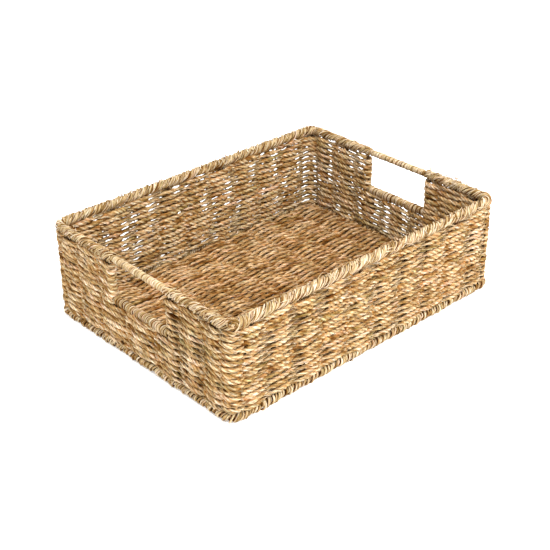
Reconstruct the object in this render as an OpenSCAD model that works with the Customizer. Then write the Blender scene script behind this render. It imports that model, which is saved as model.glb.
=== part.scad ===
// Rectangular storage basket: seagrass cord woven over a welded steel wire frame.
// Origin: middle of the footprint, on the floor. X is the length, Z is up.

/* [Overall size] */
// Length over the wrapped rims
basket_l = 400; // [340:5:480]
// Width over the wrapped rims
basket_w = 300; // [280:5:360]
// Height from the floor to the top of the rim
basket_h = 116; // [106:1:135]
// Outer radius of the four corners
corner_r = 17; // [15:1:22]

/* [Wire frame] */
// Diameter of the top and base rim rods
rod_d = 4; // [3.5:0.5:5]
// Diameter of the stakes, posts, uprights and floor rods
wire_d = 3; // [2:0.25:3]

/* [Woven cord] */
// Thickness of the cord where it lies on a wire
cord_t = 3.2; // [2.4:0.1:3.2]
// Gap left between cords, and between a cord and a wire
cord_gap = 0.1; // [0.05:0.05:0.2]

/* [Wraps] */
// Diameter of the wrapped top rim
rim_d = 11.2; // [10:0.2:12]
// Diameter of the wrapped base rim
base_d = 12; // [11:0.5:12]
// Diameter of the two hand grips
grip_d = 7.8; // [7:0.2:11]
// Diameter of the wrapped sill under each opening
sill_d = 8.6; // [7:0.2:9]

/* [Handle openings] */
// Clear width of each opening
opening_w = 88; // [70:2:96]
// Middle of both openings along Y
opening_y = -5; // [-6:1:6]

/* [Hidden] */
$fn = 48;
RING_COURSES = 13;       // courses that run right round, below the openings
SIDE_PAIRS = 7;          // pairs of courses beside the openings
FLOOR_GROUPS = 6;        // floor cords are grouped in six strips
FLOOR_GROUP_CORDS = 12;  // cords in one strip
FRONT_STAKES = 10;
BACK_STAKES = 9;

// Centre lines of the rods, seen from above
half_l = (basket_l - base_d) / 2;
half_w = (basket_w - base_d) / 2;
bend_r = corner_r - base_d / 2;
post_in = bend_r * (1 - cos(45));

// Heights
base_flat = 0.3;                           // depth of the flat the base stands on
base_z = base_d / 2 - base_flat;           // centre of the base rod
rim_z = basket_h - rim_d / 2;              // centre of the top rod
wall_lo = base_z + base_d / 2 + 0.6;       // underside of the first course
wall_hi = rim_z - rim_d / 2 - 0.3;         // top of the last course
course_rise = (wall_hi - wall_lo) / (RING_COURSES + 2 * SIDE_PAIRS);
cord_h = course_rise - cord_gap;
sill_z = wall_lo + RING_COURSES * course_rise + sill_d / 2 + 0.5;

// Cord path: how far it stands off the wires, and how long it lies flat on one
lay_off = wire_d / 2 + cord_gap + cord_t / 2;
lay_flat = 8;

// Handle openings
turn_r = wire_d / 2 + cord_gap + cord_t;   // reach of a turn round an upright
upright_dy = opening_w / 2 + turn_r + 0.1;
upright_lo = opening_y - upright_dy;
upright_hi = opening_y + upright_dy;

// Where the wires stand along each wall
front_xs = [for (i = [0:FRONT_STAKES - 1]) (i - (FRONT_STAKES - 1) / 2) * basket_l * 0.095];
back_xs = [for (i = [0:BACK_STAKES - 1]) ((BACK_STAKES - 1) / 2 - i) * basket_l * 0.09875];
far_y = half_w - bend_r - 11;
end_hi_ys = [far_y, (far_y + upright_hi) / 2];
end_lo_ys = [-far_y, (upright_lo - far_y) / 2];

// A station is where the cord passes a wire: [points of the centre line with their normals]
function on_front(x) = [for (d = [-1, 1]) [x + d * lay_flat / 2, -half_w, 0, -1]];
function on_back(x) = [for (d = [1, -1]) [x + d * lay_flat / 2, half_w, 0, 1]];
function on_right(y) = [for (d = [-1, 1]) [half_l, y + d * lay_flat / 2, 1, 0]];
function on_left(y) = [for (d = [1, -1]) [-half_l, y + d * lay_flat / 2, -1, 0]];
function on_corner(sx, sy, from) = [for (a = [from + 15:15:from + 75])
    [sx * (half_l - bend_r) + bend_r * cos(a), sy * (half_w - bend_r) + bend_r * sin(a),
     cos(a), sin(a)]];

// All stations in the order the cord meets them, from the middle of the right end
STATIONS = concat(
    [for (y = [opening_y, upright_hi, end_hi_ys[1], end_hi_ys[0]]) on_right(y)],
    [on_corner(1, 1, 0)],
    [for (x = back_xs) on_back(x)],
    [on_corner(-1, 1, 90)],
    [for (y = [end_hi_ys[0], end_hi_ys[1], upright_hi, opening_y,
               upright_lo, end_lo_ys[1], end_lo_ys[0]]) on_left(y)],
    [on_corner(-1, -1, 180)],
    [for (x = front_xs) on_front(x)],
    [on_corner(1, -1, 270)],
    [for (y = [end_lo_ys[0], end_lo_ys[1], upright_lo]) on_right(y)]);
LAST = len(STATIONS) - 1;
BACK_FROM = 1;                             // right upright of the back side courses
BACK_TO = BACK_STAKES + 8;                 // left upright of the back side courses
FRONT_FROM = BACK_TO + 2;                  // left upright of the front side courses
FRONT_TO = LAST;                           // right upright of the front side courses

// The cord passes outside one wire and inside the next, the other way in the next course
function side_of(course, k) = (course + k) % 2 == 0 ? 1 : -1;
function course_z(course) = wall_lo + course * course_rise;
function pushed(p, d) = [p[0] + d * p[2], p[1] + d * p[3]];
function cord_line(course, from, to) =
    [for (k = [from:to]) for (p = STATIONS[k]) [p, side_of(course, k) * lay_off]];
function cord_edges(line) = let (n = len(line)) concat(
    [for (i = [0:n - 1]) pushed(line[i][0], line[i][1] + cord_t / 2)],
    [for (i = [n - 1:-1:0]) pushed(line[i][0], line[i][1] - cord_t / 2)]);

// ---- wires ----

// A closed loop of round bar that follows the rim: four straights and four bends
module rim_loop(d, z) {
    translate([0, 0, z]) {
        for (s = [-1, 1]) {
            translate([bend_r - half_l, s * half_w, 0]) rotate([0, 90, 0])
                cylinder(d = d, h = 2 * (half_l - bend_r));
            translate([s * half_l, half_w - bend_r, 0]) rotate([90, 0, 0])
                cylinder(d = d, h = 2 * (half_w - bend_r));
        }
        for (q = [[1, 1, 0], [-1, 1, 90], [-1, -1, 180], [1, -1, 270]])
            translate([q[0] * (half_l - bend_r), q[1] * (half_w - bend_r), 0])
                rotate([0, 0, q[2]]) rotate_extrude(angle = 90)
                    translate([bend_r, 0]) circle(d = d);
    }
}

// One upright wire, butted on the crowns of the base rod and the rod above it
module stake(x, y, d = wire_d, top = rim_z - rod_d / 2) {
    lo = base_z + rod_d / 2;
    translate([x, y, lo]) cylinder(d = d, h = top - lo);
}

module top_rim_rod() { color("dimgray") rim_loop(rod_d, rim_z); }

module base_rim_rod() { color("dimgray") rim_loop(rod_d, base_z); }

module corner_posts() {
    color("gray") for (sx = [-1, 1]) for (sy = [-1, 1])
        stake(sx * (half_l - post_in), sy * (half_w - post_in));
}

module front_stakes() { color("gray") for (x = front_xs) stake(x, -half_w); }

module back_stakes() { color("gray") for (x = back_xs) stake(x, half_w); }

// The stakes of one end: four full ones, and a short one under the sill
module end_stakes(x) {
    for (y = concat(end_hi_ys, end_lo_ys)) stake(x, y);
    stake(x, opening_y, wire_d, sill_z - wire_d / 2);
}

module left_end_stakes() { color("gray") end_stakes(-half_l); }

module right_end_stakes() { color("gray") end_stakes(half_l); }

module handle_uprights(x) { for (y = [upright_lo, upright_hi]) stake(x, y); }

module left_handle_uprights() { color("gray") handle_uprights(-half_l); }

module right_handle_uprights() { color("gray") handle_uprights(half_l); }

// The sill rod runs between the two uprights, with its ends on them
module sill_rod(x, d = wire_d) {
    translate([x, upright_lo + wire_d / 2, sill_z]) rotate([-90, 0, 0])
        cylinder(d = d, h = upright_hi - upright_lo - wire_d);
}

module left_sill_rod() { color("gray") sill_rod(-half_l); }

module right_sill_rod() { color("gray") sill_rod(half_l); }

// Rods across the floor under the front stakes, with their ends on the base rod
module floor_rods(d = wire_d) {
    run = 2 * half_w - rod_d;
    for (x = front_xs) translate([x, -run / 2, base_z]) rotate([-90, 0, 0])
        cylinder(d = d, h = run);
}

module floor_cross_rods() { color("gray") floor_rods(); }

// ---- woven cord ----

// One turn of the cord right round the basket, cut in the middle of a gap
module wall_course(course) {
    seam_y = (upright_lo + opening_y) / 2;
    seam = [half_l, seam_y, 1, 0];
    line = concat([[[half_l, seam_y + cord_gap, 1, 0], 0]], cord_line(course, 0, LAST),
                  [[[half_l, seam_y - cord_gap, 1, 0], 0]]);
    color("burlywood") translate([0, 0, course_z(course)])
        linear_extrude(height = cord_h) polygon(cord_edges(line));
}

// The half turn round an upright that leads one course into the next
module cord_turn(x, y, inward, course, levels) {
    translate([x, y, course_z(course)]) difference() {
        cylinder(r = turn_r, h = levels * course_rise - cord_gap);
        translate([0, 0, -1]) cylinder(r = turn_r - cord_t, h = levels * course_rise + 2);
        translate([-2 * turn_r, inward > 0 ? -4 * turn_r : 0, -1])
            cube([4 * turn_r, 4 * turn_r, levels * course_rise + 2]);
    }
}

// The part of a side course between its two uprights
module side_run(course, from, to) {
    line = cord_line(course, from, to);
    n = len(line);
    start = [pushed_along(line[0], line[1], lay_flat / 2), line[0][1]];
    stop = [pushed_along(line[n - 1], line[n - 2], lay_flat / 2), line[n - 1][1]];
    kept = concat([start], [for (i = [1:n - 2]) line[i]], [stop]);
    translate([0, 0, course_z(course)])
        linear_extrude(height = cord_h) polygon(cord_edges(kept));
}

// The end point of a run, moved along the wall onto the axis of its upright
function pushed_along(a, b, d) = let (v = [b[0][0] - a[0][0], b[0][1] - a[0][1]], m = norm(v))
    [a[0][0] + v[0] / m * d, a[0][1] + v[1] / m * d, a[0][2], a[0][3]];

// Two courses of one cord: out, round the far upright, back, and up to the next pair
module side_pair(pair, from, to, near, far) {
    course = RING_COURSES + 2 * (pair - 1);
    last = pair == SIDE_PAIRS;
    color("burlywood") difference() {
        union() {
            side_run(course, from, to);
            side_run(course + 1, from, to);
            cord_turn(far[0], far[1], far[2], course, 2);
            cord_turn(near[0], near[1], near[2], course + 1, last ? 1 : 2);
        }
        for (x = [-half_l, half_l]) sill_rod(x, wire_d + 2 * cord_gap);
    }
}

module front_side_pair(pair) {
    side_pair(pair, FRONT_FROM, FRONT_TO, [-half_l, upright_lo, 1], [half_l, upright_lo, 1]);
}

module back_side_pair(pair) {
    side_pair(pair, BACK_FROM, BACK_TO, [half_l, upright_hi, -1], [-half_l, upright_hi, -1]);
}

// ---- floor ----

// Side view of a floor cord: over one rod and under the next
function floor_line(side, reach) = concat([[-reach, 0]],
    [for (k = [0:FRONT_STAKES - 1]) for (d = [-1, 1])
        [front_xs[k] + d * lay_flat / 2, (k % 2 == 0 ? side : -side) * lay_off]],
    [[reach, 0]]);

// How far a floor cord reaches before it meets the base wrap, square or in the bend
floor_half_w = half_w - base_d / 2 - 0.4;
floor_step = 2 * floor_half_w / (FLOOR_GROUPS * FLOOR_GROUP_CORDS);
function floor_reach(y) =
    let (past = max(0, abs(y) + floor_step / 2 - (half_w - bend_r)),
         inner_r = bend_r - base_d / 2 - 0.4)
    half_l - bend_r + sqrt(max(0.2, inner_r * inner_r - past * past));

module floor_cord(n) {
    y = (n + 0.5) * floor_step - floor_half_w;
    line = floor_line(n % 2 == 0 ? 1 : -1, floor_reach(y));
    edges = concat([for (p = line) [p[0], p[1] + cord_t / 2]],
                   [for (i = [len(line) - 1:-1:0]) [line[i][0], line[i][1] - cord_t / 2]]);
    translate([0, y + (floor_step - cord_gap) / 2, base_z]) rotate([90, 0, 0])
        linear_extrude(height = floor_step - cord_gap) polygon(edges);
}

module floor_cords(group) {
    color("tan") for (i = [0:FLOOR_GROUP_CORDS - 1])
        floor_cord((group - 1) * FLOOR_GROUP_CORDS + i);
}

// ---- wraps ----

// Room for every upright wire where it passes through a wrap
module wire_bores() {
    bore = wire_d + 2 * cord_gap;
    for (x = front_xs) stake(x, -half_w, bore);
    for (x = back_xs) stake(x, half_w, bore);
    for (x = [-half_l, half_l]) {
        for (y = concat(end_hi_ys, end_lo_ys, [upright_lo, upright_hi])) stake(x, y, bore);
        stake(x, opening_y, bore, sill_z);
    }
    for (sx = [-1, 1]) for (sy = [-1, 1])
        stake(sx * (half_l - post_in), sy * (half_w - post_in), bore);
}

// The cord wound round the base rod, flattened where the basket stands on it
module base_wrap() {
    color("peru") difference() {
        rim_loop(base_d, base_z);
        rim_loop(rod_d + 2 * cord_gap, base_z);
        wire_bores();
        floor_rods(wire_d + 2 * cord_gap);
        translate([-basket_l, -basket_w, -base_d]) cube([2 * basket_l, 2 * basket_w, base_d]);
    }
}

// The part of the rim wrap on one side of the openings: side is -1 in front, 1 behind
module rim_wrap(side) {
    edge = opening_y + side * opening_w / 2;
    color("wheat") difference() {
        rim_loop(rim_d, rim_z);
        rim_loop(rod_d + 2 * cord_gap, rim_z);
        wire_bores();
        translate([-basket_l, side > 0 ? edge - basket_w : edge, rim_z - rim_d])
            cube([2 * basket_l, basket_w, 2 * rim_d]);
    }
}

module rim_wrap_front() { rim_wrap(-1); }

module rim_wrap_back() { rim_wrap(1); }

// A straight sleeve of wound cord along Y
module sleeve(x, z, d, bore, length) {
    translate([x, opening_y - length / 2, z]) rotate([-90, 0, 0]) difference() {
        cylinder(d = d, h = length);
        translate([0, 0, -1]) cylinder(d = bore, h = length + 2);
    }
}

module grip_wrap(x) {
    color("wheat") sleeve(x, rim_z, grip_d, rod_d + 2 * cord_gap, opening_w - 2 * cord_gap);
}

module left_grip_wrap() { grip_wrap(-half_l); }

module right_grip_wrap() { grip_wrap(half_l); }

module sill_wrap(x) {
    color("wheat") difference() {
        sleeve(x, sill_z, sill_d, wire_d + 2 * cord_gap, opening_w - 2 * cord_gap);
        stake(x, opening_y, wire_d + 2 * cord_gap, sill_z);
    }
}

module left_sill_wrap() { sill_wrap(-half_l); }

module right_sill_wrap() { sill_wrap(half_l); }

top_rim_rod();
base_rim_rod();
corner_posts();
front_stakes();
back_stakes();
left_end_stakes();
right_end_stakes();
left_handle_uprights();
right_handle_uprights();
left_sill_rod();
right_sill_rod();
floor_cross_rods();
for (i = [1:RING_COURSES])
    wall_course(i - 1);
for (i = [1:SIDE_PAIRS])
    front_side_pair(i);
for (i = [1:SIDE_PAIRS])
    back_side_pair(i);
for (i = [1:FLOOR_GROUPS])
    floor_cords(i);
base_wrap();
rim_wrap_front();
rim_wrap_back();
left_grip_wrap();
right_grip_wrap();
left_sill_wrap();
right_sill_wrap();
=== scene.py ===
"""Seagrass storage basket: twisted cords, wound rims and studio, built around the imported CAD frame."""

import bpy
import math
import numpy as np
from mathutils import Matrix, Vector


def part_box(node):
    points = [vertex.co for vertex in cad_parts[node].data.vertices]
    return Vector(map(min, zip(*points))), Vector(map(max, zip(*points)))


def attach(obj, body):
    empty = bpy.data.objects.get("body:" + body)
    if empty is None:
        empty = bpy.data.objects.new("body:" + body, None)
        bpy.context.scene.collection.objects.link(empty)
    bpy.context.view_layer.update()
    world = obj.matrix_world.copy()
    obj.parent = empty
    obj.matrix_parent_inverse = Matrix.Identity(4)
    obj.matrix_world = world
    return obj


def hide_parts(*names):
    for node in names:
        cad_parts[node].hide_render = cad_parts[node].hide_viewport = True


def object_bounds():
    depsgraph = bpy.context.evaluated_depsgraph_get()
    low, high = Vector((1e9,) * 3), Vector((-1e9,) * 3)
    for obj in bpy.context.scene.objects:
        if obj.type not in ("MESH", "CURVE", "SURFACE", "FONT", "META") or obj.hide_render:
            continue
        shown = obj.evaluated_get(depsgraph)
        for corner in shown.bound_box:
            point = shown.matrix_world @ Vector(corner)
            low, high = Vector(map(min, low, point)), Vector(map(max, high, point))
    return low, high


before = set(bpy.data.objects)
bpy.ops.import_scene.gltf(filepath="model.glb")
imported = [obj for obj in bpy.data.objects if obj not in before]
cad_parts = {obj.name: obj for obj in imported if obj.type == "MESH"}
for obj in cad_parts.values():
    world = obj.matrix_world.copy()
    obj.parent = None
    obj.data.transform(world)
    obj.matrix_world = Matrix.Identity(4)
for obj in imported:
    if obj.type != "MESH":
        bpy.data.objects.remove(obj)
CAD_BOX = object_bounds()

MM = 0.001
TAU = 2 * math.pi
UP = np.array([0.0, 0.0, 1.0])
SEED = 20261

# ---------------------------------------------------------------- sizes read from the frame, in millimetres


def mm_box(node):
    """Lowest and highest corner of a CAD node."""
    lo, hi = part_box(node)
    return np.array(lo) / MM, np.array(hi) / MM


def middle_z(node):
    """Height of the middle of a CAD node."""
    return sum(corner[2] for corner in mm_box(node)) / 2


def half_high(node):
    """Half the height of a CAD node: the radius of a wrap."""
    lo, hi = mm_box(node)
    return (hi[2] - lo[2]) / 2


def centres(node, axis, gap=8.0):
    """Centre of each separate rod in a CAD node, sorted along an axis."""
    co = np.sort([v.co[axis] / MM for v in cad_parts[node].data.vertices])
    groups = np.split(co, np.nonzero(np.diff(co) > gap)[0] + 1)
    return np.array([(g[0] + g[-1]) / 2 for g in groups])


def count(prefix):
    """Number of CAD nodes whose names begin in this way."""
    return sum(name.startswith(prefix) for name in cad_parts)


FRONT_X = centres("front_stakes", 0)
BACK_X = centres("back_stakes", 0)
END_Y = centres("right_end_stakes", 1)
UPRIGHT_Y = centres("right_handle_uprights", 1)
HALF_L = centres("right_end_stakes", 0)[0]
HALF_W = centres("back_stakes", 1)[0]
RING_COUNT = count("wall_course_")
PAIR_COUNT = count("front_side_pair_")
FLOOR_GROUPS = count("floor_cords_")
FLOOR_GROUP_CORDS = 12
FIRST_Z = middle_z("wall_course_1")
LAST_RING_Z = middle_z(f"wall_course_{RING_COUNT}")
RISE = (LAST_RING_Z - FIRST_Z) / (RING_COUNT - 1)
RIM_Z = middle_z("top_rim_rod")
BASE_Z = middle_z("base_rim_rod")
SILL_Z = middle_z("left_sill_rod")
FLOOR_Z = middle_z("floor_cords_2")
RIM_R = half_high("rim_wrap_front")
GRIP_R = half_high("left_grip_wrap")
SILL_R = half_high("left_sill_wrap")
BASE_R = mm_box("base_wrap")[1][0] - HALF_L
FLOOR_STEP = (mm_box("floor_cords_3")[0][1] - mm_box("floor_cords_2")[0][1]) / FLOOR_GROUP_CORDS
BEND_R = 11.0   # plan radius of the wall's corners
STAKE_R = 1.5

# ---------------------------------------------------------------- cord and strand shape

CORD_STEP = 1.5           # distance between two rings of points
CORD_LAY = 29.0           # length of one full twist
UNTWIST = 0.6             # share of the twist that the blades in a ply turn back
STAKE_HALF_HIGH = 3.75    # half height of the cord where it lies on a stake
CLOSED_HALF_HIGH = 3.0    # and where it crosses between stakes, in close weave
OPEN_HALF_HIGH = 0.9      # and in open weave
STAKE_HALF_DEEP = 1.95    # half depth of the cord where it lies on a stake
CROSS_HALF_DEEP = 3.1     # and where it crosses between stakes
SWING = STAKE_R + STAKE_HALF_DEEP

CORD_ROUGH = 0.34         # unevenness of the cord's surface
NEIGHBOUR_SHADE_FROM, NEIGHBOUR_SHADE_OVER = 0.55, 0.35   # where the painted shade towards a neighbouring cord begins, and its width
GROOVE_SHADE = 0.8        # how dark the painted shade in the grooves between the plies is
CORD_STRETCH = 0.14       # fibre coordinates along a cord, per millimetre
RIBBON_STRETCH = 0.12     # and along a wound strand
FIBRE_SHIFT = 500         # range of the random shift that gives each strand its own fibres

PALETTE = np.array([
    [0.35, 0.21, 0.07],
    [0.50, 0.37, 0.18],
    [0.69, 0.59, 0.415],
    [0.80, 0.73, 0.595],
    [0.85, 0.785, 0.68],
])
OLIVE = np.array([0.55, 0.54, 0.32])
RUST = np.array([0.66, 0.40, 0.21])
BLUSH = np.array([0.87, 0.75, 0.65])
# colour of the painted shade: in the ply grooves, towards neighbouring cords, and on wound strands' buried sides
CREVICE_SHADE = np.array([0.53, 0.26, 0.055])
TINT_SHARES = ((OLIVE, 0.4), (RUST, 0.26), (BLUSH, 0.75))
STRAW = 2.2               # place of plain straw in the palette
BLADE_REACH = 8.5         # length over which a blade changes colour
BLADE_SPREAD = 1.6        # and how far it strays in the palette


def to_linear(c):
    """sRGB colour to the linear values that a shader uses."""
    return np.where(c <= 0.04045, c / 12.92, ((np.maximum(c, 0) + 0.055) / 1.055) ** 2.4)


def eased(u):
    """0 to 1 with a soft start and end."""
    return u * u * (3 - 2 * u)


def drift(rng, n, step, reach, lines=1):
    """Smooth random values along a strand, about -1 to 1, that change over a given length."""
    knots = rng.normal(0, 0.6, (int(n * step / reach) + 3, lines))
    x = np.arange(n) * step / reach
    i = x.astype(int)
    f = eased((x - i)[:, None])
    return knots[i] * (1 - f) + knots[i + 1] * f


def cord_drift(rng, n, reach):
    """One line of smooth random values along a cord."""
    return drift(rng, n, CORD_STEP, reach)[:, 0]


def blade_colours(rng, n, m, step, tone):
    """Straw colours for n rings of m points: streaks along the strand, with olive, rusty and pinkish stretches."""
    t = STRAW + tone + 0.5 * drift(rng, n, step, 45) + BLADE_SPREAD * drift(rng, n, step, BLADE_REACH, m)
    t = np.clip(t, 0, len(PALETTE) - 1.001)
    i = t.astype(int)
    f = (t - i)[..., None]
    c = PALETTE[i] * (1 - f) + PALETTE[i + 1] * f
    for tint, share in TINT_SHARES:
        w = np.clip(drift(rng, n, step, 22, m) - 0.5, 0, 1)[..., None] * 1.5 * share
        w += np.clip(drift(rng, n, step, 50) - 0.75, 0, 1)[..., None] * share
        w = np.clip(w, 0, 0.8)
        c = c * (1 - w) + tint * w
    return to_linear(c)


def ply_section(plies, per_ply, offset):
    """Unit outline of plies laid together, and how far each of its points is in a groove, which sets the painted
    groove shade.
    """
    radius, half = 1 - offset, math.pi / plies
    depth = offset * math.cos(half) + math.sqrt(radius ** 2 - (offset * math.sin(half)) ** 2)
    widest = math.atan2(depth * math.sin(half), depth * math.cos(half) - offset)
    angle = np.linspace(-widest, widest, per_ply + 2)[1:-1]
    lobe = np.stack([offset + radius * np.cos(angle), radius * np.sin(angle)], 1)
    lobe = np.concatenate([lobe, [[depth * math.cos(half), depth * math.sin(half)]]])
    outline, in_groove = [], []
    for k in range(plies):
        c, s = math.cos(k * 2 * half), math.sin(k * 2 * half)
        outline.append(lobe @ np.array([[c, s], [-s, c]]))
        in_groove += [0.3] + [0.0] * (per_ply - 2) + [0.3, 1.0]
    return np.concatenate(outline), np.array(in_groove)


def round_section(points):
    """Unit circle outline, and how far each of its points is buried in the winding, which sets the painted shade
    on a wound strand.
    """
    a = np.arange(points) * TAU / points
    return np.stack([np.cos(a), np.sin(a)], 1), np.clip(0.75 - np.sin(a), 0, 1)


CORD_SECTION = ply_section(4, 2, 0.55)
STRAND_SECTION = round_section(8)


def unit(vectors):
    """Rows scaled to length 1."""
    return vectors / np.linalg.norm(vectors, axis=1, keepdims=True)


def directions(path):
    """Unit side and up at each point of a path."""
    t = unit(np.gradient(path, axis=0))
    side = unit(np.cross(t, UP))
    return side, np.cross(side, t)


def untwisted(colours, phase):
    """Colour columns turned back against the twist, as the blades in each ply lie."""
    n, m, _ = colours.shape
    column = np.arange(m) + (UNTWIST * phase * m / TAU)[:, None]
    low = np.floor(column).astype(int)
    f = (column - low)[..., None]
    rows = np.arange(n)[:, None]
    return colours[rows, low % m] * (1 - f) + colours[rows, (low + 1) % m] * f


def twisted(path, half_side, half_up, phase, free, tone, shade, rng, sideways=False):
    """One twisted cord: rings of points, their colours with painted shade in the ply grooves and towards
    neighbouring cords, and their fibre coordinates.
    """
    outline, in_groove = CORD_SECTION
    n, m = len(path), len(outline)
    side, up = directions(path)
    swell = 1 + CORD_ROUGH * drift(rng, n, CORD_STEP, 5, m) + 0.05 * drift(rng, n, CORD_STEP, 22)
    c, s = np.cos(phase)[:, None], np.sin(phase)[:, None]
    turned_x = outline[:, 0] * c - outline[:, 1] * s
    turned_y = outline[:, 0] * s + outline[:, 1] * c
    x = turned_x * swell * np.reshape(half_side, (-1, 1))
    y = turned_y * swell * np.reshape(half_up, (-1, 1))
    rings = path[:, None] + side[:, None] * x[..., None] + up[:, None] * y[..., None]
    colours = untwisted(blade_colours(rng, n, m, CORD_STEP, tone), phase)
    # Painted shade: the colours darken in the grooves between the plies and where the surface reaches towards a
    # neighbouring cord.
    to_neighbour = np.abs(x if sideways else y) / np.reshape(free, (-1, 1))
    neighbour_shade = np.clip((to_neighbour - NEIGHBOUR_SHADE_FROM) / NEIGHBOUR_SHADE_OVER, 0, 1) * np.reshape(shade, (-1, 1))
    dark = 1 - (1 - GROOVE_SHADE * in_groove[None]) * (1 - neighbour_shade)
    colours *= 1 - (1 - CREVICE_SHADE) * dark[..., None]
    width = float(np.mean(half_up))
    back = UNTWIST * phase[:, None]
    fibre = np.empty((n, m, 3))
    fibre[..., 0] = (np.arange(n) * CORD_STEP)[:, None] * CORD_STRETCH
    fibre[..., 1] = (outline[:, 0] * np.cos(back) - outline[:, 1] * np.sin(back)) * width
    fibre[..., 2] = (outline[:, 0] * np.sin(back) + outline[:, 1] * np.cos(back)) * width
    fibre += rng.uniform(0, FIBRE_SHIFT, 3)
    return rings, colours, fibre


def ribbon(path, side, radial, wide, thick, rng, tone, step, shade=1.0):
    """A flat strand with its own side and radial directions, its colours darkened with painted shade on the side
    buried in the winding.
    """
    outline, buried = STRAND_SECTION
    side, up = unit(side), unit(radial)
    n, m = len(path), len(outline)
    swell = 1 + 0.18 * drift(rng, n, step, 4.5, m)
    x = outline[:, 0] * swell * np.reshape(wide, (-1, 1))
    y = outline[:, 1] * swell * thick
    rings = path[:, None] + side[:, None] * x[..., None] + up[:, None] * y[..., None]
    fibre = np.empty((n, m, 3))
    fibre[..., 0] = np.arange(n)[:, None] * step * RIBBON_STRETCH
    fibre[..., 1:] = outline[None] * float(np.mean(wide))
    fibre += rng.uniform(0, FIBRE_SHIFT, 3)
    # painted shade on the side of the strand that lies buried in the winding
    colours = blade_colours(rng, n, m, step, tone) * (1 - (1 - CREVICE_SHADE) * shade * buried[None, :, None])
    return rings, colours, fibre


# ---------------------------------------------------------------- meshes

STRIP_SHAPE = 0.45        # width of a UV strip against its length, so that the strips fill the square


def strip_uvs(ring_faces, m, rows):
    """Corner UVs of every side face, laid as long strips that never overlap."""
    per_row = math.ceil(ring_faces / rows)
    g = np.arange(ring_faces)
    row, col = g // per_row, g % per_row
    j = np.arange(m)
    corner_u = np.array([0, 1, 1, 0])
    corner_v = np.array([0, 0, 1, 1])
    u = (col[:, None, None] + corner_u) / per_row
    v = (row[:, None, None] + 0.06 + 0.88 * (j[None, :, None] + corner_v) / m) / (rows + 1)
    u = np.broadcast_to(u, (ring_faces, m, 4))
    return np.stack([0.002 + 0.996 * u, v], -1)


def cap_uvs(caps, m, rows):
    """Corner UVs of the end caps, as small discs in the last strip."""
    a = np.arange(m) * TAU / m
    size = min(0.4 / (rows + 1), 0.4 / max(caps, 1))
    centre_u = (np.arange(caps) + 0.5) / max(caps, 1)
    u = centre_u[:, None] + size * np.cos(a)
    v = (rows + 0.5) / (rows + 1) + np.broadcast_to(size * np.sin(a), u.shape)
    return np.stack([u, v], -1)


def fill(elements, field, values, kind=np.float32):
    """Set one field of every element of a mesh."""
    elements.foreach_set(field, values.astype(kind).ravel())


def mesh_piece(name, strands, material, node, floor_at=None):
    """One object from strands that all have the same number of points around."""
    m = strands[0][0].shape[1]
    quads, caps = [], []
    start = 0
    j = np.arange(m)
    for rings, _, _ in strands:
        n = len(rings)
        a = start + np.arange(n - 1)[:, None] * m + j
        b = start + np.arange(n - 1)[:, None] * m + (j + 1) % m
        quads.append(np.stack([a, a + m, b + m, b], -1))
        caps += [start + j, start + (n - 1) * m + j[::-1]]
        start += n * m
    verts, colours, fibre = (np.concatenate([part.reshape(-1, 3) for part in parts]) for parts in zip(*strands))
    if floor_at is not None:
        verts[:, 2] = np.maximum(verts[:, 2], floor_at)
    quads = np.concatenate(quads)
    ring_faces = len(quads)
    rows = max(1, round(math.sqrt(ring_faces / (m * STRIP_SHAPE))))
    uv = np.concatenate([
        strip_uvs(ring_faces, m, rows).reshape(-1, 2),
        cap_uvs(len(caps), m, rows).reshape(-1, 2),
    ])
    loops = np.concatenate([quads.ravel(), np.concatenate(caps)])
    sizes = np.concatenate([np.full(ring_faces * m, 4), np.full(len(caps), m)])
    mesh = bpy.data.meshes.new(name)
    mesh.vertices.add(len(verts))
    fill(mesh.vertices, "co", verts * MM)
    mesh.loops.add(len(loops))
    fill(mesh.loops, "vertex_index", loops, np.int32)
    mesh.polygons.add(len(sizes))
    fill(mesh.polygons, "loop_start", np.concatenate([[0], np.cumsum(sizes)[:-1]]), np.int32)
    mesh.update(calc_edges=True)
    fill(mesh.polygons, "use_smooth", np.ones(len(sizes)), bool)
    fill(mesh.uv_layers.new(name="OFBake").data, "uv", uv)
    rgba = np.concatenate([colours, np.ones((len(verts), 1))], 1)
    fill(mesh.attributes.new("blade_colour", "FLOAT_COLOR", "POINT").data, "color", rgba)
    fill(mesh.attributes.new("fibre", "FLOAT_VECTOR", "POINT").data, "vector", fibre)
    mesh.materials.append(material)
    mesh.validate()
    piece = bpy.data.objects.new(name, mesh)
    bpy.context.scene.collection.objects.link(piece)
    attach(piece, "root")
    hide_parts(node)
    return piece


# ---------------------------------------------------------------- materials


def new_material(name):
    """A node material, with its nodes, its links and its main shader."""
    mat = bpy.data.materials.new(name)
    mat.use_nodes = True
    nodes, links = mat.node_tree.nodes, mat.node_tree.links
    return mat, nodes, links, nodes["Principled BSDF"]


def add_noise(nodes, scale, detail):
    """A noise node."""
    noise = nodes.new("ShaderNodeTexNoise")
    noise.inputs["Scale"].default_value = scale
    noise.inputs["Detail"].default_value = detail
    return noise


def add_roughness(nodes, links, shader, noise, low, high):
    """Roughness that runs from one value to another with a noise."""
    rough = nodes.new("ShaderNodeMapRange")
    rough.inputs["To Min"].default_value = low
    rough.inputs["To Max"].default_value = high
    links.new(noise.outputs["Fac"], rough.inputs["Value"])
    links.new(rough.outputs["Result"], shader.inputs["Roughness"])


def add_bump(nodes, links, shader, noise, strength, height):
    """Relief from a noise; the height is in millimetres."""
    bump = nodes.new("ShaderNodeBump")
    bump.inputs["Strength"].default_value = strength
    bump.inputs["Distance"].default_value = height * MM
    links.new(noise.outputs["Fac"], bump.inputs["Height"])
    links.new(bump.outputs["Normal"], shader.inputs["Normal"])


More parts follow.
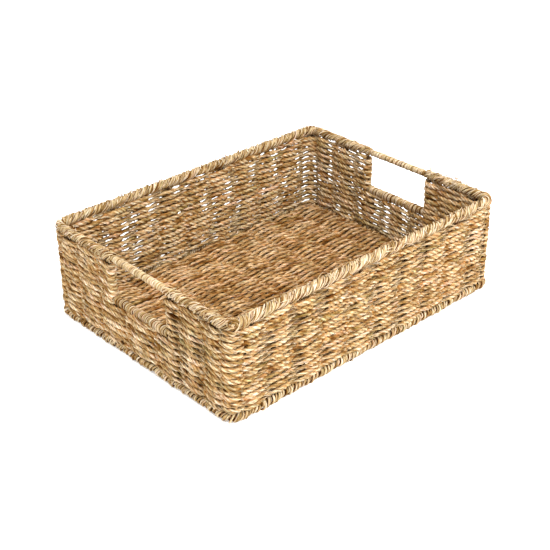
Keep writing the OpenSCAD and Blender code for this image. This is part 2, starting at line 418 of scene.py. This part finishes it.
def seagrass(name, tint_by, contrast, roughness):
    """Dry seagrass: blade colours from the strand, with streaks and fibres along it."""
    mat, nodes, links, shader = new_material(name)
    tint = nodes.new("ShaderNodeAttribute")
    tint.attribute_name = "blade_colour"
    fibre = nodes.new("ShaderNodeAttribute")
    fibre.attribute_name = "fibre"
    streak = add_noise(nodes, scale=1.5, detail=4)
    streak.inputs["Roughness"].default_value = 0.6
    links.new(fibre.outputs["Vector"], streak.inputs["Vector"])
    level = nodes.new("ShaderNodeMapRange")
    level.inputs["From Min"].default_value = 0.34
    level.inputs["From Max"].default_value = 0.66
    level.inputs["To Min"].default_value = 1 - contrast
    level.inputs["To Max"].default_value = 1 + 0.55 * contrast
    links.new(streak.outputs["Fac"], level.inputs["Value"])
    streaked = nodes.new("ShaderNodeVectorMath")
    streaked.operation = "SCALE"
    links.new(tint.outputs["Color"], streaked.inputs[0])
    links.new(level.outputs["Result"], streaked.inputs["Scale"])
    toned = nodes.new("ShaderNodeVectorMath")
    toned.operation = "MULTIPLY"
    toned.inputs[1].default_value = tint_by
    links.new(streaked.outputs["Vector"], toned.inputs[0])
    links.new(toned.outputs["Vector"], shader.inputs["Base Color"])
    add_roughness(nodes, links, shader, streak, roughness + 0.12, roughness - 0.12)
    fine = add_noise(nodes, scale=1.5, detail=3)
    links.new(fibre.outputs["Vector"], fine.inputs["Vector"])
    add_bump(nodes, links, shader, fine, strength=0.8, height=0.8)
    shader.inputs["Specular IOR Level"].default_value = 0.03
    shader.inputs["Specular Tint"].default_value = (1.0, 0.8, 0.55, 1)
    return mat


def lacquered_wire():
    """Dark brown lacquered steel, slightly mottled."""
    mat, nodes, links, shader = new_material("lacquered_wire")
    shader.inputs["Specular IOR Level"].default_value = 0.25
    mottle = add_noise(nodes, scale=260, detail=4)
    ramp = nodes.new("ShaderNodeValToRGB")
    dark, light = ramp.color_ramp.elements
    dark.position, dark.color = 0.35, (0.060, 0.030, 0.012, 1)
    light.position, light.color = 0.7, (0.15, 0.080, 0.034, 1)
    links.new(mottle.outputs["Fac"], ramp.inputs["Fac"])
    links.new(ramp.outputs["Color"], shader.inputs["Base Color"])
    add_roughness(nodes, links, shader, mottle, 0.35, 0.6)
    add_bump(nodes, links, shader, mottle, strength=0.3, height=0.2)
    return mat


CORD_MAT = seagrass("seagrass_cord", tint_by=(1.26, 1.36, 1.49), contrast=0.8, roughness=0.7)
WRAP_MAT = seagrass("seagrass_wrap", tint_by=(1.01, 1.02, 1.07), contrast=0.52, roughness=0.66)
# The floor's seagrass is a darker, browner copy of the wall cord's: painted shade for the inside of the basket.
FLOOR_MAT = seagrass("seagrass_floor", tint_by=(1.08, 1.05, 1.04), contrast=0.84, roughness=0.7)

# ---------------------------------------------------------------- wall paths


class Loop:
    """The wall's centre line in plan: a rounded rectangle, counter-clockwise from the middle of the right end."""

    def __init__(self, half_l, half_w, bend):
        self.half_l, self.half_w, self.bend = half_l, half_w, bend
        self.end, self.long, self.arc = half_w - bend, 2 * (half_l - bend), bend * math.pi / 2
        self.length = 4 * self.end + 2 * self.long + 4 * self.arc

    def right(self, y):
        """Distance along the loop of a point on the right end."""
        return y

    def back(self, x):
        """Distance along the loop of a point on the back wall."""
        return self.end + self.arc + self.half_l - self.bend - x

    def left(self, y):
        """Distance along the loop of a point on the left end."""
        return self.length / 2 - y

    def front(self, x):
        """Distance along the loop of a point on the front wall."""
        return self.length / 2 + self.end + self.arc + self.half_l - self.bend + x

    def at(self, s):
        """Points and outward normals at distances along the loop."""
        s = np.mod(np.asarray(s, float), self.length)
        runs = [(self.end, 0), (self.arc, 0), (self.long, 1), (self.arc, 1), (2 * self.end, 2),
                (self.arc, 2), (self.long, 3), (self.arc, 3), (self.end, 0)]
        cx, cy = self.half_l - self.bend, self.half_w - self.bend
        corner = [(cx, cy), (-cx, cy), (-cx, -cy), (cx, -cy)]
        begin = [(self.half_l, 0), (cx, self.half_w), (-self.half_l, cy), (-cx, -self.half_w)]
        heading = [(0, 1), (-1, 0), (0, -1), (1, 0)]
        xy, nrm = np.zeros((len(s), 2)), np.zeros((len(s), 2))
        low = 0.0
        for k, (size, q) in enumerate(runs):
            here = (s >= low) & (s < low + size + 1e-9)
            d = s[here] - low
            if k % 2:
                a = q * math.pi / 2 + d / self.bend
                nrm[here] = np.stack([np.cos(a), np.sin(a)], 1)
                xy[here] = np.array(corner[q]) + self.bend * nrm[here]
            else:
                first = (self.half_l, -self.end) if k == len(runs) - 1 else begin[q]
                h = np.array(heading[q], float)
                xy[here] = np.array(first) + d[:, None] * h
                nrm[here] = (h[1], -h[0])
            low += size
        return xy, nrm


WALL = Loop(HALF_L, HALF_W, BEND_R)
CORNER = WALL.end + WALL.arc / 2
MID_Y = END_Y[2]
STATIONS = np.array(   # every wire that the courses pass, in order along the loop
    [WALL.right(y) for y in (MID_Y, UPRIGHT_Y[1], END_Y[3], END_Y[4])]
    + [CORNER]
    + [WALL.back(x) for x in BACK_X[::-1]]
    + [WALL.length / 2 - CORNER]
    + [WALL.left(y) for y in (END_Y[4], END_Y[3], UPRIGHT_Y[1], MID_Y, UPRIGHT_Y[0], END_Y[1], END_Y[0])]
    + [WALL.length / 2 + CORNER]
    + [WALL.front(x) for x in FRONT_X]
    + [WALL.length - CORNER]
    + [WALL.length + y for y in (END_Y[0], END_Y[1], UPRIGHT_Y[0])]
)
SIDE_UPRIGHTS = {"back": (1, 17), "front": (19, 36)}   # stations that each side's cord turns back round


def side_of(course, k):
    """1 where a course passes outside station k, -1 where it passes inside."""
    return 1 if (course + k) % 2 == 0 else -1


def weave(course, s):
    """How far a course swings to the outside, -1 to 1, at distances along the loop."""
    stations = len(STATIONS)
    spots = np.concatenate([[STATIONS[-1] - WALL.length], STATIONS, [STATIONS[0] + WALL.length]])
    k = np.clip(np.searchsorted(spots, s, side="right") - 1, 0, len(spots) - 2)
    share = (s - spots[k]) / (spots[k + 1] - spots[k])
    first = np.array([side_of(course, j) for j in range(-1, stations + 1)])
    return first[k] * np.cos(math.pi * share)


def course_z(course):
    """Height of a course's centre line."""
    return FIRST_Z + RISE * course


def wall_points(s, swing, z):
    """Points in space at distances along the wall, swung off its centre line."""
    xy, nrm = WALL.at(s)
    return np.concatenate([xy + nrm * (SWING * swing)[:, None], np.reshape(z, (-1, 1))], 1)


def spiral_runs(first=0):
    """The rings of the one spiral cord: points and swing, each ring up to where the next takes over."""
    seam = (STATIONS[-1] - WALL.length + STATIONS[0]) / 2
    climb = STATIONS[0] - seam
    s = seam + np.append(np.arange(0, WALL.length, 1.0), WALL.length)
    rise = np.clip((s - seam) / climb, 0, 1)
    fall = np.clip((seam + WALL.length - s) / climb, 0, 1)
    for c in range(first, RING_COUNT):
        z = course_z(c) - RISE / 2 * (1 - eased(rise)) + RISE / 2 * (1 - eased(fall))
        w = weave(c, s)
        yield wall_points(s, w, z), np.abs(w)


def turn(k, course, forward):
    """Half a turn round the upright at station k, climbing from one course to the next."""
    xy, nrm = WALL.at([STATIONS[k]])
    ahead = np.array([-nrm[0][1], nrm[0][0]]) * (1 if forward else -1)
    a = np.linspace(0, math.pi, 12)[1:-1]
    side = side_of(course, k)
    flat = xy[0] + SWING * (side * np.cos(a)[:, None] * nrm[0] + np.sin(a)[:, None] * ahead)
    z = course_z(course) + RISE * a / math.pi
    return np.concatenate([flat, z[:, None]], 1), np.ones(len(a))


def level_run(course, s):
    """Points and swing of a level course at distances along the loop."""
    swing = weave(course, s)
    return wall_points(s, swing, np.full(len(s), course_z(course))), np.abs(swing)


def side_runs(near, far):
    """The side cord above the rings, to and fro between two uprights: points and swing of each pair of courses."""
    out = np.linspace(STATIONS[near], STATIONS[far], int(STATIONS[far] - STATIONS[near]))
    for p in range(PAIR_COUNT):
        c = RING_COUNT + 2 * p
        parts = [level_run(c, out), turn(far, c, True), level_run(c + 1, out[::-1])]
        if p < PAIR_COUNT - 1:
            parts += [turn(near, c + 1, False), level_run(c + 2, out[:1])]
        yield np.concatenate([q[0] for q in parts]), np.concatenate([q[1] for q in parts])


def even(points, values, step):
    """A path and its values resampled at even steps."""
    d = np.concatenate([[0], np.cumsum(np.linalg.norm(np.diff(points, axis=0), axis=1))])
    keep = np.concatenate([[True], np.diff(d) > 1e-6])
    d, points, values = d[keep], points[keep], values[keep]
    n = max(2, round(d[-1] / step))
    t = np.linspace(0, d[-1], n + 1)
    return np.stack([np.interp(t, d, points[:, a]) for a in range(3)], 1), np.interp(t, d, values)


# ---------------------------------------------------------------- wall cord

SAG = 0.36                # size of the sags that neighbouring courses share
OWN_SAG = 0.42            # and of a course's own
TWIST_DRIFT = 0.9         # how far the twist runs ahead or behind, in radians
OPEN_FROM = 0.04          # the weave opens where its openness field passes this
OPEN_GAIN = 5
OPENER = 0.45             # added in the right end and the back wall's right part
CLOSE_GAP = 0.1           # share of the openings that is left in the close parts


def wobble(path):
    """Sags and rises that neighbouring courses share, from a field over the wall."""
    x, y, z = path.T
    along = x + y
    field = np.sin(along / 23.0 + 1.7 * np.sin(z / 19.0)) + 0.8 * np.sin(along / 9.5 + z / 11.0 + 2.0)
    edge = np.clip((z - FIRST_Z) / 12, 0, 1) * np.clip((RIM_Z - 4 - z) / 12, 0, 1)
    return SAG * field * edge


def openness(path, rng):
    """How open the weave is beside the stakes, 0 to 1: patches, closest at the right end's front."""
    x, y, z = path.T
    along = x + y
    patch = np.sin(along / 16.0 + 1.4 * np.sin(z / 15.0)) * np.sin(along / 9.7 - z / 21.0 + 0.7)
    raw = 0.05 + 0.75 * patch + 0.45 * cord_drift(rng, len(path), 15)
    right_wall = x > HALF_L - 8
    right_end = right_wall & (y > UPRIGHT_Y[0] + 4)
    under_sill = right_end & (y < UPRIGHT_Y[1] + 4)
    raw += np.where(right_end | ((x > 110) & (y > 0)), OPENER, 0)
    raw -= np.where(under_sill, np.clip(0.05 * (z - SILL_Z + 15), 0, 0.7), 0)
    gap = np.clip(OPEN_GAIN * (raw - OPEN_FROM), 0, 1)
    gap *= 0.85 + 0.15 * np.clip((z - 20) / 30, 0, 1)
    close = (right_wall & (y < UPRIGHT_Y[0] + 4)) | ((y > 0) & (x < FRONT_X[0] + 8))
    return np.where(close, CLOSE_GAP * gap, gap)


def run_cord(points, swing, rng, phase0, tone):
    """One stretch of wall cord, flattened where it lies against a stake and squeezed where it crosses."""
    path, w = even(points, swing, CORD_STEP)
    n = len(path)
    ease = np.clip(np.minimum(np.arange(n), np.arange(n)[::-1]) / 6, 0, 1)
    path[:, 2] += wobble(path) + OWN_SAG * cord_drift(rng, n, 15) * ease
    gap = openness(path, rng)
    cross_high = CLOSED_HALF_HIGH + (OPEN_HALF_HIGH - CLOSED_HALF_HIGH) * gap
    high = cross_high + (STAKE_HALF_HIGH - cross_high) * w ** (0.5 + 2.7 * gap)
    deep = CROSS_HALF_DEEP + (STAKE_HALF_DEEP - CROSS_HALF_DEEP) * w ** 1.7
    high = high * (1 + 0.17 * cord_drift(rng, n, 14))
    deep = deep * (1 + 0.10 * cord_drift(rng, n, 17))
    phase = phase0 - TAU * np.arange(n) * CORD_STEP / CORD_LAY + TWIST_DRIFT * cord_drift(rng, n, 26) * ease
    # painted shade towards the neighbouring courses: strongest where the cord crosses between stakes, weaker where
    # it lies over a stake
    free = RISE / 2 * (1 + w)
    return twisted(path, deep, high, phase, free, tone, 0.95 - 0.45 * w, rng), phase[-1]


def build_courses(names, runs, phase, rng):
    """One cord that runs on through all its courses, as a piece for each CAD node."""
    for name, (points, swing) in zip(names, runs):
        made, phase = run_cord(points, swing, rng, phase, 0.2 * rng.normal())
        mesh_piece(name + "_cord", [made], CORD_MAT, name)


def build_walls():
    """The spiral cord below the openings and the two side cords beside them."""
    rng = np.random.default_rng(SEED)
    build_courses([f"wall_course_{c + 1}" for c in range(RING_COUNT)], spiral_runs(), 0.0, rng)
    for side, (near, far) in SIDE_UPRIGHTS.items():
        names = [f"{side}_side_pair_{p + 1}" for p in range(PAIR_COUNT)]
        build_courses(names, side_runs(near, far), 1.0, rng)


# ---------------------------------------------------------------- floor

FLOOR_EDGE = 4.2          # from the wall's centre line to the side of the floor
FLOOR_END = 3.0           # and to the ends of its cords
FLOOR_HALF_WIDE = 3.35    # half width of a cord on a cross rod
FLOOR_CROSS_WIDE = 2.0    # and between two rods
FLOOR_HALF_DEEP = 1.75    # half depth of a cord on a cross rod
FLOOR_CROSS_DEEP = 2.6    # and between two rods
FLOOR_LOWEST = 0.3


def floor_reach(y):
    """How far a floor cord runs along X before it meets the base rim."""
    bend = BEND_R + 0.01
    over = abs(y) - (HALF_W - bend)
    if over <= 0:
        return HALF_L - FLOOR_END
    return HALF_L - bend + math.sqrt(max(bend ** 2 - over ** 2, 0)) - FLOOR_END


def floor_run(index, y):
    """Points and swing of a floor cord, over and under the cross rods."""
    reach = floor_reach(y)
    x = np.linspace(-reach, reach, int(2 * reach))
    spots = np.concatenate([[-reach - 12], FRONT_X, [reach + 12]])
    k = np.clip(np.searchsorted(spots, x, side="right") - 1, 0, len(spots) - 2)
    share = (x - spots[k]) / (spots[k + 1] - spots[k])
    first = np.where((k + index + 1) % 2 == 0, 1.0, -1.0)
    swing = first * np.cos(math.pi * share)
    return np.stack([x, np.full_like(x, y), FLOOR_Z + (STAKE_R + FLOOR_HALF_DEEP) * swing], 1), np.abs(swing)


def floor_cord(index, y, rng):
    """One floor cord, bowed a little to the side together with its neighbours."""
    path, w = even(*floor_run(index, y), CORD_STEP)
    n = len(path)
    bow = 0.5 * np.sin(path[:, 0] / 31 + y / 17) + 0.35 * np.sin(path[:, 0] / 13 + y / 9)
    path[:, 1] += bow * np.clip((HALF_W - 8 - abs(y)) / 12, 0, 1) + 0.2 * cord_drift(rng, n, 18)
    wide = FLOOR_CROSS_WIDE + (FLOOR_HALF_WIDE - FLOOR_CROSS_WIDE) * w
    wide = wide * (1 + 0.09 * cord_drift(rng, n, 20))
    deep = FLOOR_CROSS_DEEP + (FLOOR_HALF_DEEP - FLOOR_CROSS_DEEP) * w
    phase = rng.uniform(0, TAU) - TAU * np.arange(n) * CORD_STEP / CORD_LAY
    phase += TWIST_DRIFT * cord_drift(rng, n, 26)
    free = FLOOR_STEP / 2 * (1 + w)
    # the floor cords are toned darker than the wall cords, as painted shade inside the basket
    tone = 0.25 * rng.normal() - 0.25
    # painted shade towards the neighbouring floor cords, weaker over a cross rod
    return twisted(path, wide, deep, phase, free, tone, 0.95 - 0.4 * w, rng, sideways=True)


def build_floor():
    """The floor cords side by side, in the CAD's strips."""
    rng = np.random.default_rng(SEED + 1)
    cords = FLOOR_GROUPS * FLOOR_GROUP_CORDS
    step = 2 * (HALF_W - FLOOR_EDGE) / cords
    for g in range(FLOOR_GROUPS):
        strip = range(g * FLOOR_GROUP_CORDS, (g + 1) * FLOOR_GROUP_CORDS)
        made = [floor_cord(index, (index + 0.5 - cords / 2) * step, rng) for index in strip]
        name = f"floor_cords_{g + 1}"
        mesh_piece(name + "_ropes", made, FLOOR_MAT, name, floor_at=FLOOR_LOWEST)


# ---------------------------------------------------------------- wound rims, grips and sills

RIM_WINDING_R = RIM_R - 0.7
STRAYS = 42               # loose fibres on each half of the rim
FRAYED, FRAY_STRAYS = 60, 40   # length of the frayed stretch beside the right grip, and its extra fibres
SCRAP_STEP = 2.6          # one loose scrap of strand for this much rim
SCRAP_PITCH = 27.6        # slant of the scraps: rim passed in one turn, about as in the winding
CURLS = (                 # curled strands on the front corner: starting angle, reach, angle turned, tone
    (0.3, 6.2, 4.6, -1.3),
    (2.6, 5.0, 3.8, -0.4),
    (4.4, 5.8, 3.2, -0.9),
    (5.2, 3.4, 3.0, -2.0),
)


def loop_rail(z):
    """A rail along the whole wall line at one height; out points away from the wall."""

    def rail(s):
        xy, nrm = WALL.at(s)
        return np.column_stack([xy, np.full(len(s), float(z))]), np.column_stack([nrm, np.zeros(len(s))])

    return rail


def straight(x, z):
    """A rail along Y at an end of the basket; out points away from the middle."""
    sign = 1.0 if x > 0 else -1.0

    def rail(s):
        n = len(s)
        return np.stack([np.full(n, x), sign * s, np.full(n, z)], 1), np.tile([sign, 0.0, 0.0], (n, 1))

    return rail


def core(rail, start, stop, radius, rng):
    """The plain core that the strands are wound on, in a dark straw tone as painted shade in the gaps between the
    strands.
    """
    n = int((stop - start) / 4)
    path, out = rail(np.linspace(start, stop, n))
    # the low tone makes the core a dark thing standing in for the shade between the strands
    return ribbon(path, out, np.tile(UP, (n, 1)), np.full(n, radius), radius, rng, tone=-1.2, step=4.0)


def wound(rail, start, stop, radius, rng, strands, spacing, half_wide, half_thick, tone=0.0, lump=0.5,
          slack=0.5, per_turn=17, inner=1.0, lower=1.0, upper=1.0, shade=1.0):
    """Strands wound side by side round a rail from start to stop."""
    pitch = strands * spacing
    made = []
    n = int((stop - start) / pitch * per_turn)
    s = np.linspace(start, stop, n)
    step = math.hypot(TAU * radius, pitch) / per_turn
    swell = 0.4 * lump * drift(rng, n, pitch / per_turn, 9)[:, 0]
    for q in range(strands):
        slide = slack * spacing * drift(rng, n, step, 40)[:, 0]
        angle = TAU * ((s - start) / pitch + q / strands)
        centre, out = rail(np.clip(s + slide, start, stop))
        lift = radius - half_thick + swell + lump * (drift(rng, n, step, 9)[:, 0] + 0.7 * ((q % 2) - 0.5))
        across, rise = np.cos(angle), np.sin(angle)
        across = np.where(across < 0, inner * across, across)
        rise = np.where(rise < 0, lower * rise, upper * rise)
        path = centre + lift[:, None] * (across[:, None] * out + rise[:, None] * UP)
        radial = path - centre
        wide = half_wide * (1 + 0.2 * drift(rng, n, step, 25)[:, 0])
        side = np.cross(np.gradient(path, axis=0), radial)
        made.append(ribbon(path, side, radial, wide, half_thick, rng, tone + 0.5 * rng.normal(), step, shade))
    return made


def stray(rail, at, around, radius, length, lean, rng):
    """A loose fibre that leaves a wound rail at a distance along it and an angle round it."""
    centre, out = rail(np.array([at]))
    away = math.cos(around) * out[0] + math.sin(around) * UP
    along = np.cross(UP, out[0])
    n = 9
    t = np.linspace(0, 1, n)[:, None]
    heading = away + lean * along + 0.25 * rng.normal(size=3)
    heading /= np.linalg.norm(heading)
    curl = np.cross(heading, rng.normal(size=3))
    path = centre[0] + away * (radius - 1.2) + heading * length * t + curl * 0.28 * length * t ** 2
    ahead = np.gradient(path, axis=0)
    side = np.cross(ahead, away + 0.01)
    wide = 0.7 * (1 - 0.75 * t[:, 0])
    return ribbon(path, side, np.cross(side, ahead), wide, 0.26, rng, tone=0.4, step=length / n)


def scrap(rail, at, radius, pitch, rng):
    """A short loose length of strand lying over the winding at its own slant, its ends standing off."""
    t = np.linspace(-0.5, 0.5, 12)
    turn_by = rng.uniform(0.8, 2.6)
    angle = rng.uniform(-0.6, 3.4) - turn_by * t
    slant = pitch * turn_by / TAU * rng.uniform(-0.1, 1.9)
    centre, out = rail(at - slant * t)
    off = radius - 0.1 + rng.uniform(0.2, 1.5) * np.abs(2 * t) ** 3
    path = centre + off[:, None] * (np.cos(angle)[:, None] * out + np.sin(angle)[:, None] * UP)
    radial = path - centre
    side = np.cross(np.gradient(path, axis=0), radial)
    wide = rng.uniform(0.45, 1.1) * (1 - 0.5 * np.abs(2 * t) ** 2)
    return ribbon(path, side, radial, wide, 0.5, rng, 0.2 + 0.8 * rng.normal(), 1.2)


def corner_coil(rail, corner, rng):
    """The end of the rim's winding, thickened over the front corner and curled under on its outside."""
    made = wound(rail, corner + 1, corner + 19, RIM_R + 0.2, rng, strands=7, spacing=2.3, half_wide=1.0,
                 half_thick=0.95, tone=-0.3, lump=0.8, lower=1.3)
    centre, out = rail(np.array([corner + 2.0]))
    face = out[0] + 0.5 * UP
    face /= np.linalg.norm(face)
    across = np.cross(UP, face)
    across /= np.linalg.norm(across)
    rise = np.cross(face, across)
    for start, reach, turns, tone in CURLS:
        a = np.linspace(0, turns, 24)
        r = reach * (1 - 0.12 * a) + 0.5 * drift(rng, len(a), 1.0, 5)[:, 0]
        depth = RIM_R - 0.6 + 0.7 * drift(rng, len(a), 1.0, 6)[:, 0]
        path = (centre[0] + face * depth[:, None]
                + (r * np.cos(a + start))[:, None] * across + (0.8 * r * np.sin(a + start))[:, None] * rise)
        ahead = np.gradient(path, axis=0)
        side = np.cross(ahead, face)
        made.append(ribbon(path, side, np.cross(side, ahead), np.full(len(a), 0.85), 0.8, rng, tone, 1.2))
    return made


def build_rim(name, a, b, rng):
    """One half of the wound top rim, between the grips, with its loose fibres and scraps."""
    rim = loop_rail(RIM_Z)
    front = name == "rim_wrap_front"
    made = [core(rim, a, b, RIM_R - 2.2, rng)]
    made += wound(rim, a, b, RIM_WINDING_R, rng, strands=14, spacing=1.97, half_wide=0.98,
                  half_thick=0.9, lump=1.0, slack=1.15, lower=1.1)
    if front:
        made += corner_coil(rim, WALL.length / 2 + CORNER, rng)
    spots = list(rng.uniform(a + 4, b - 4, STRAYS))
    if front:
        spots += list(rng.uniform(b - FRAYED, b - 4, FRAY_STRAYS))
    for at in spots:
        around, length, lean = rng.uniform(-0.3, 2.6), rng.uniform(4, 12), rng.uniform(-2, 2)
        made.append(stray(rim, at, around, RIM_R, length, lean, rng))
    spots = list(rng.uniform(a + 8, b - 8, int((b - a) / SCRAP_STEP))) + [at for at in spots if at > b - FRAYED]
    for at in spots:
        made.append(scrap(rim, at, RIM_WINDING_R, SCRAP_PITCH, rng))
    mesh_piece(name + "_strands", made, WRAP_MAT, name)


def build_base(rng):
    """The wound base rim, and the course that it half hides."""
    base = loop_rail(BASE_Z)
    made = [core(base, 0, WALL.length, BASE_R - 3.6, rng)]
    made += wound(base, 0, WALL.length, BASE_R, rng, strands=4, spacing=3.0, half_wide=1.2, half_thick=1.15,
                  tone=-0.3, lump=1.15, inner=0.25, upper=0.62)
    mesh_piece("base_wrap_strands", made, WRAP_MAT, "base_wrap", floor_at=0.0)
    foot, _ = run_cord(*next(spiral_runs(-1)), rng, 0.0, 0.0)
    mesh_piece("foot_course_cord", [foot], CORD_MAT, "base_wrap")


def build_end(end, x, grip_span, rng):
    """The wound grip over an opening and the wound sill under it."""
    sign = 1 if x > 0 else -1
    lo, hi = sorted(sign * y for y in grip_span)
    rail = straight(x, RIM_Z)
    made = [core(rail, lo, hi, GRIP_R - 0.8, rng)]
    made += wound(rail, lo, hi, GRIP_R, rng, strands=2, spacing=1.9, half_wide=1.0, half_thick=0.7,
                  tone=-0.3, lump=0.3, slack=0.3, per_turn=16, shade=0.6)
    mesh_piece(f"{end}_grip_wrap_strands", made, WRAP_MAT, f"{end}_grip_wrap")
    box_lo, box_hi = mm_box(f"{end}_sill_wrap")
    lo, hi = sorted((sign * (box_lo[1] - 2.5), sign * (box_hi[1] + 2.5)))
    rail = straight(x, SILL_Z)
    made = [core(rail, lo, hi, SILL_R - 1.2, rng)]
    made += wound(rail, lo, hi, SILL_R, rng, strands=3, spacing=1.95, half_wide=1.0, half_thick=0.75,
                  tone=-0.25, slack=0.4, per_turn=16, lower=1.7)
    mesh_piece(f"{end}_sill_wrap_strands", made, WRAP_MAT, f"{end}_sill_wrap")


def build_wraps():
    """Everything that is wound: the rim's two halves, the base, and a grip and a sill in each end."""
    rng = np.random.default_rng(SEED + 2)
    grip_lo, grip_hi = (corner[1] for corner in mm_box("right_grip_wrap"))
    build_rim("rim_wrap_back", WALL.right(grip_hi), WALL.left(grip_hi), rng)
    build_rim("rim_wrap_front", WALL.left(grip_lo), WALL.length + grip_lo, rng)
    build_base(rng)
    build_end("left", -HALF_L, (grip_lo, grip_hi), rng)
    build_end("right", HALF_L, (grip_lo, grip_hi), rng)


def finish_wires():
    """Lacquer on every rod, post, stake and upright of the CAD frame."""
    wire = lacquered_wire()
    for name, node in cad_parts.items():
        if name.endswith(("_rod", "_rods", "_posts", "_stakes", "_uprights")):
            node.data.materials.clear()
            node.data.materials.append(wire)


build_walls()
build_floor()
build_wraps()
finish_wires()

# ---------------------------------------------------------------- camera, light and floor

AZIMUTH, ELEVATION, ROLL = (math.radians(a) for a in (-132.47, 29.73, -0.637))
AIM = Vector((-0.0379, -0.0365, 0.06))
DISTANCE = 1.236
SENSOR, LENS = 36, 74.5
LIGHT_AIM = Vector((0, 0, 0.05))
SKY = 1.4
PAPER_REACH = 6.0
PAPER_DROP = 0.0002       # the paper lies this far under the basket


def place_camera():
    """The camera in front of the left front corner, looking down and rolled a little about its own axis."""
    flat = math.cos(ELEVATION)
    away = Vector((flat * math.cos(AZIMUTH), flat * math.sin(AZIMUTH), math.sin(ELEVATION)))
    position = AIM + away * DISTANCE
    ahead = (AIM - position).normalized()
    right = ahead.cross(Vector((0, 0, 1))).normalized()
    up = right.cross(ahead)
    turned_right = right * math.cos(ROLL) + up * math.sin(ROLL)
    turned_up = up * math.cos(ROLL) - right * math.sin(ROLL)
    data = bpy.data.cameras.new("camera")
    data.sensor_width = SENSOR
    data.lens = LENS
    data.clip_start, data.clip_end = 0.05, 20
    camera = bpy.data.objects.new("camera", data)
    facing = Matrix((turned_right, turned_up, -ahead)).transposed().to_4x4()
    camera.matrix_world = Matrix.Translation(position) @ facing
    bpy.context.scene.collection.objects.link(camera)
    bpy.context.scene.camera = camera


def area_light(name, position, size, watts):
    """A square lamp that faces the basket."""
    data = bpy.data.lights.new(name, "AREA")
    data.shape = "SQUARE"
    data.size = size
    data.energy = watts
    lamp = bpy.data.objects.new(name, data)
    lamp.location = position
    lamp.rotation_euler = (LIGHT_AIM - Vector(position)).to_track_quat("-Z", "Y").to_euler()
    bpy.context.scene.collection.objects.link(lamp)


def paper_floor():
    """A wide sheet of white paper under the basket."""
    mesh = bpy.data.meshes.new("floor")
    corners = [(-1, -1), (1, -1), (1, 1), (-1, 1)]
    mesh.from_pydata([(x * PAPER_REACH, y * PAPER_REACH, 0) for x, y in corners], [], [(0, 1, 2, 3)])
    paper, _, _, shader = new_material("paper_floor")
    shader.inputs["Base Color"].default_value = (0.96, 0.96, 0.96, 1)
    shader.inputs["Roughness"].default_value = 0.9
    shader.inputs["Emission Color"].default_value = (1, 1, 1, 1)
    shader.inputs["Emission Strength"].default_value = 0.15
    mesh.materials.append(paper)
    floor = bpy.data.objects.new("floor", mesh)
    floor.location = (0, 0, CAD_BOX[0][2] - PAPER_DROP)
    bpy.context.scene.collection.objects.link(floor)


def build_studio():
    """White surroundings, the paper floor and two lamps."""
    scene = bpy.context.scene
    world = bpy.data.worlds.new("studio")
    world.use_nodes = True
    background = world.node_tree.nodes["Background"]
    background.inputs["Color"].default_value = (1, 1, 1, 1)
    background.inputs["Strength"].default_value = SKY
    scene.world = world
    scene.view_settings.view_transform = "Standard"
    paper_floor()
    area_light("key", (-0.35, -0.55, 1.6), size=0.8, watts=24)
    area_light("fill", (0.2, -1.1, 1.15), size=1.0, watts=17)


place_camera()
build_studio()
